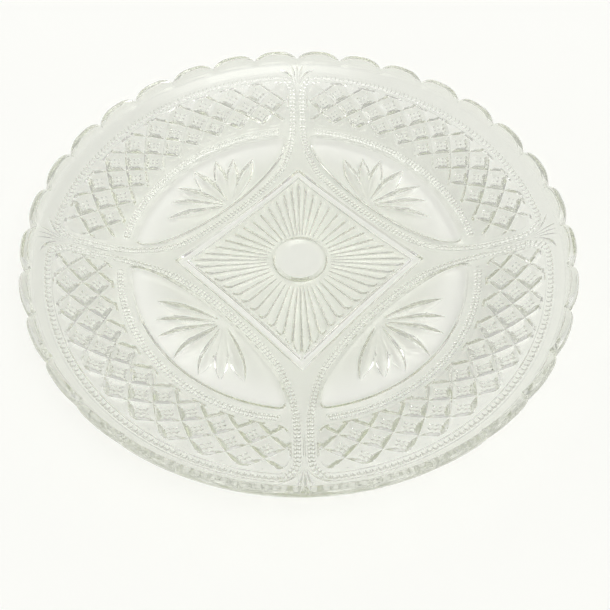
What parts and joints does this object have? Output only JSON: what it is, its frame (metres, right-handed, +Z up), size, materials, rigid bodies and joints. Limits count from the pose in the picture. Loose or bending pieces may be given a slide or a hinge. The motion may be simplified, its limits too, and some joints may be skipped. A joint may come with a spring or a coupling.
{
  "type": "glass serving dish",
  "caption": "Round shallow serving dish of clear pressed glass, smooth inside, with a scalloped rim, a hobnail wall and leaf panels around a rayed square base that it stands on.",
  "frame": {"origin": "on the table under the middle of the dish", "axes": "+Z up along the dish's axis, +X and +Y through opposite corners of the square foot frame"},
  "size_m": [0.2814, 0.2814, 0.038],
  "materials": {
    "clear_glass": "clear, fire-polished pressed glass with a faint green-grey tint"
  },
  "bodies": {
    "root": {"dish": "clear_glass"}
  },
  "joints": []
}
